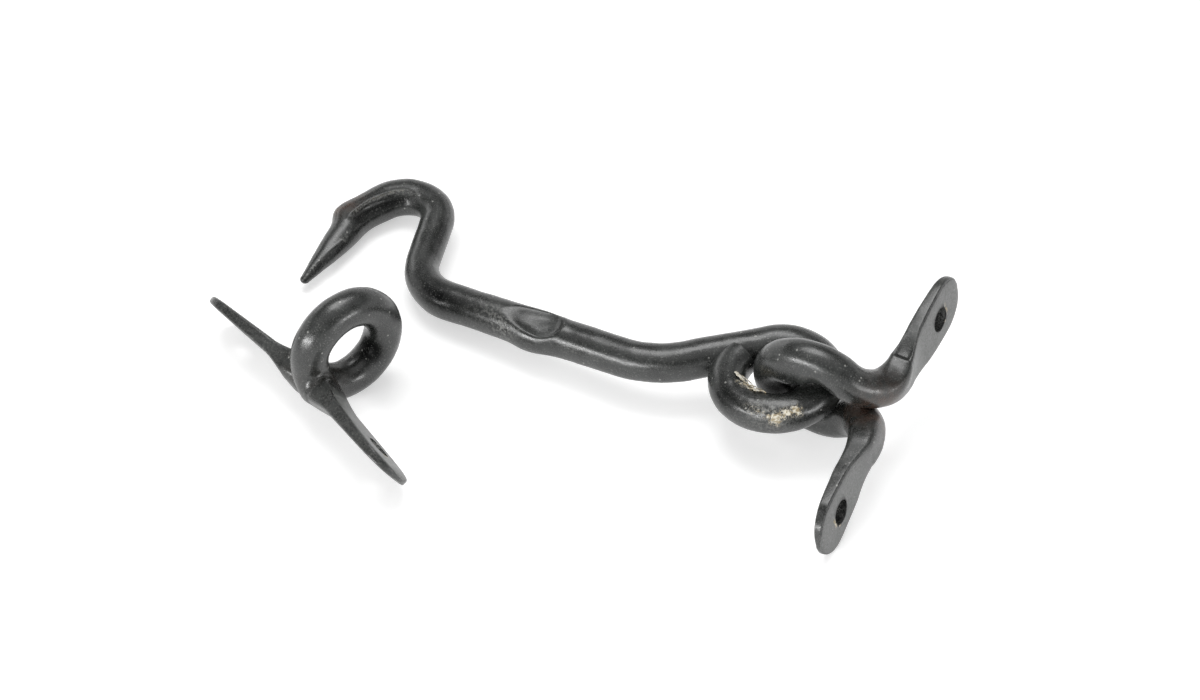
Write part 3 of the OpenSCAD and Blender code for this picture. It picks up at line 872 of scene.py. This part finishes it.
def black_iron():
    """Blackened forged iron: a satin coat with grain, dust, scuffs, crumbs of wax and a little rust, with
    painted shade, painted highlight lines and painted sheen on pale faces.
    """
    mat = bpy.data.materials.new("black_iron_forged")
    mat.use_nodes = True
    t = mat.node_tree
    t.nodes.clear()
    out = node(t, "ShaderNodeOutputMaterial")
    skin = node(t, "ShaderNodeBsdfPrincipled")
    link(t, skin.outputs[0], out.inputs[0])
    coords = node(t, "ShaderNodeTexCoord").outputs["Object"]
    dark = mark(t, "dark")
    fine = grain(t, coords, "fine")
    grit = grain(t, coords, "grit")
    # grey dust that lies in the grain of the black, thicker in patches
    thick = span(t, grain(t, coords, "thick"), 0.34, 0.68)
    speck = span(t, grit, 0.44, 0.68)
    dusty = plus(t, times(t, thick, 0.22), times(t, speck, plus(t, times(t, thick, 0.20), 0.20)))
    dusty = times(t, dusty, less(t, 1.0, times(t, dark, 0.8)))
    colour = blended(t, dusty, BLACK, DUSTY)
    # painted shade: the iron goes blacker and loses gloss where shade falls
    colour = blended(t, times(t, dark, COVER["dark"]), colour, SHADE_BLACK)
    # pale faces with painted sheen, grains and flecks of dust
    rubbed = span(t, grain(t, coords, "rubbed"), 0.36, 0.66)
    faces = times(t, mark(t, "pale"), plus(t, 0.08, times(t, rubbed, 0.9)))
    colour = blended(t, faces, colour, PALE_SHEEN_GREY)
    colour = blended(t, times(t, dust_grains(t, coords), COVER["dust"]), colour, DUST_GRAIN)
    fleck = span(t, grain(t, coords, "fleck"), 0.62, 0.70)
    colour = blended(t, times(t, fleck, plus(t, 0.12, times(t, thick, 0.36))), colour, FLECK)
    # scuffed grey with the painted highlight lines, rust, crumbs of wax and bare metal
    scuff = times(t, mark(t, "scuff"), span(t, grain(t, coords, "scuff"), 0.45, 0.62))
    colour = blended(t, times(t, scuff, COVER["scuff"]), colour, SCUFF_AND_GLINT_GREY)
    rust = times(t, mark(t, "rust"), span(t, grain(t, coords, "rust"), 0.34, 0.62))
    colour = blended(t, times(t, rust, COVER["rust"]), colour, RUST)
    bare = bare_crumbs(t, coords, mark(t, "wear"))
    tint = blended(t, span(t, grain(t, coords, "tint"), 0.42, 0.58), CRUMB_BROWN, CRUMB_CREAM)
    link(t, blended(t, bare, colour, tint), skin.inputs["Base Color"])
    rough = plus(t, ROUGH, times(t, dusty, ROUGH_DUST))
    rough = plus(t, rough, times(t, larger(t, bare, times(t, scuff, 0.6)), ROUGH_WORN))
    rough = maths(t, "MINIMUM", plus(t, rough, times(t, faces, ROUGH_FACES)), ROUGH_MOST)
    link(t, rough, skin.inputs["Roughness"])
    link(t, less(t, SHINE, times(t, dark, SHINE_LOST_IN_DARK)), skin.inputs["Specular IOR Level"])
    height = plus(t, times(t, fine, HEIGHTS["fine"]), times(t, grit, HEIGHTS["grit"]))
    raised = plus(t, times(t, bare, HEIGHTS["bare"]), times(t, scuff, HEIGHTS["scuff"]))
    bumped(t, skin, plus(t, height, raised), *IRON_BUMP)
    return mat


def old_wax():
    """Dry cream wax with darker patches and a little grain."""
    mat = bpy.data.materials.new("old_wax")
    mat.use_nodes = True
    t = mat.node_tree
    skin = t.nodes["Principled BSDF"]
    coords = node(t, "ShaderNodeTexCoord").outputs["Object"]
    tone = span(t, grain(t, coords, "wax"), 0.38, 0.62)
    link(t, blended(t, tone, WAX_BROWN, WAX_CREAM), skin.inputs["Base Color"])
    skin.inputs["Roughness"].default_value = WAX_ROUGH
    bumped(t, skin, grain(t, coords, "wax_grain"), *WAX_BUMP)
    return mat


def white_bench():
    """White floor that takes shadows, and shows white to the camera and in gloss."""
    mat = bpy.data.materials.new("white_bench")
    mat.use_nodes = True
    t = mat.node_tree
    t.nodes.clear()
    out = node(t, "ShaderNodeOutputMaterial")
    diffuse = node(t, "ShaderNodeBsdfDiffuse", Color=BENCH_WHITE)
    glow = node(t, "ShaderNodeEmission", Color=GLOW_WHITE)
    path = node(t, "ShaderNodeLightPath")
    seen = larger(t, path.outputs["Is Camera Ray"], path.outputs["Is Glossy Ray"])
    seen = larger(t, seen, path.outputs["Is Transmission Ray"])
    link(t, times(t, seen, BENCH_GLOW), glow.inputs["Strength"])
    add = node(t, "ShaderNodeAddShader")
    link(t, diffuse.outputs[0], add.inputs[0])
    link(t, glow.outputs[0], add.inputs[1])
    link(t, add.outputs[0], out.inputs[0])
    return mat


def bench():
    bpy.ops.mesh.primitive_plane_add(size=BENCH_SIZE, location=(0, 0, BENCH_Z))
    floor = bpy.context.object
    floor.name = "bench"
    floor.data.materials.append(white_bench())


def studio():
    """World with a bright band low down and a bright top, white to the camera."""
    world = bpy.data.worlds.new("studio")
    bpy.context.scene.world = world
    world.use_nodes = True
    t = world.node_tree
    t.nodes.clear()
    out = node(t, "ShaderNodeOutputWorld")
    sky = node(t, "ShaderNodeBackground")
    link(t, sky.outputs[0], out.inputs[0])
    split = node(t, "ShaderNodeSeparateXYZ")
    link(t, node(t, "ShaderNodeTexCoord").outputs["Generated"], split.inputs[0])
    z = split.outputs["Z"]
    band = times(t, span(t, z, 0.0, 0.16), span(t, z, 0.24, 0.52, 1, 0))
    top = span(t, z, 0.62, 0.92, SKY_LOW, SKY_TOP)
    level = plus(t, times(t, band, SKY_BAND), top)
    seen = node(t, "ShaderNodeLightPath").outputs["Is Camera Ray"]
    link(t, larger(t, level, seen), sky.inputs["Strength"])


def lamp(name, place, size, power):
    light = bpy.data.lights.new(name, "AREA")
    light.shape = "RECTANGLE"
    light.size, light.size_y = size
    light.energy = power
    aim(bpy.data.objects.new(name, light), Vector(place), Vector((0, 0, 0)))


def aim(obj, place, look):
    """Puts a lamp or a camera at a place in the scene, turned to what it looks at."""
    obj.location = place
    obj.rotation_mode = "QUATERNION"
    obj.rotation_quaternion = (look - place).to_track_quat("-Z", "Y")
    bpy.context.scene.collection.objects.link(obj)


def camera():
    look = Vector((EYE_AT[0] + LOOK_FROM_EYE[0], EYE_AT[1] + LOOK_FROM_EYE[1], 0)) * MM
    place = look + Vector(STAND_FROM_LOOK) * MM
    cam = bpy.data.cameras.new("camera")
    cam.sensor_width = SENSOR
    cam.lens = FOCAL_PX / PHOTO_PX * SENSOR
    cam.clip_start = CLIP_START
    obj = bpy.data.objects.new("camera", cam)
    aim(obj, place, look)
    bpy.context.scene.camera = obj


pivot_at = np.array([EYE_AT[0] + EYE_R - LINK_SEAT + ring_height(**LINK), EYE_AT[1], RING_Z])
pivot_lie = turn(LINK_ROLL, 0, 0) @ turn(0, -90, 0) @ turn(0, 0, 90)
keeper_z = KEEPER_RING + STAPLE_R - ring_height(**KEEPER) * sin(KEEPER_LIE)
keeper_at = np.array([*(EYE_AT + KEEPER_AT), keeper_z])
keeper_lie = turn(0, 0, KEEPER_YAW) @ turn(90 - KEEPER_LIE, KEEPER_TILT, 0)

iron = black_iron()
pieces = {
    "hook": build_hook(),
    "pivot_staple": build_staple("pivot_staple_forged", LINK, pivot_at, pivot_lie, **LINK_LOOK),
    "keeper_staple": build_staple("keeper_staple_forged", KEEPER, keeper_at, keeper_lie, **KEEPER_LOOK),
}
for body, piece in pieces.items():
    piece.data.materials.clear()
    piece.data.materials.append(iron)
    smooth(piece)
    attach(piece, body)
    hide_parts(body)

flakes = build_flakes()
flakes.data.materials.append(old_wax())
smooth(flakes)
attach(flakes, "hook")

bench()
studio()
for row in LAMPS:
    lamp(*row)
camera()
bpy.context.scene.view_settings.view_transform = "Standard"
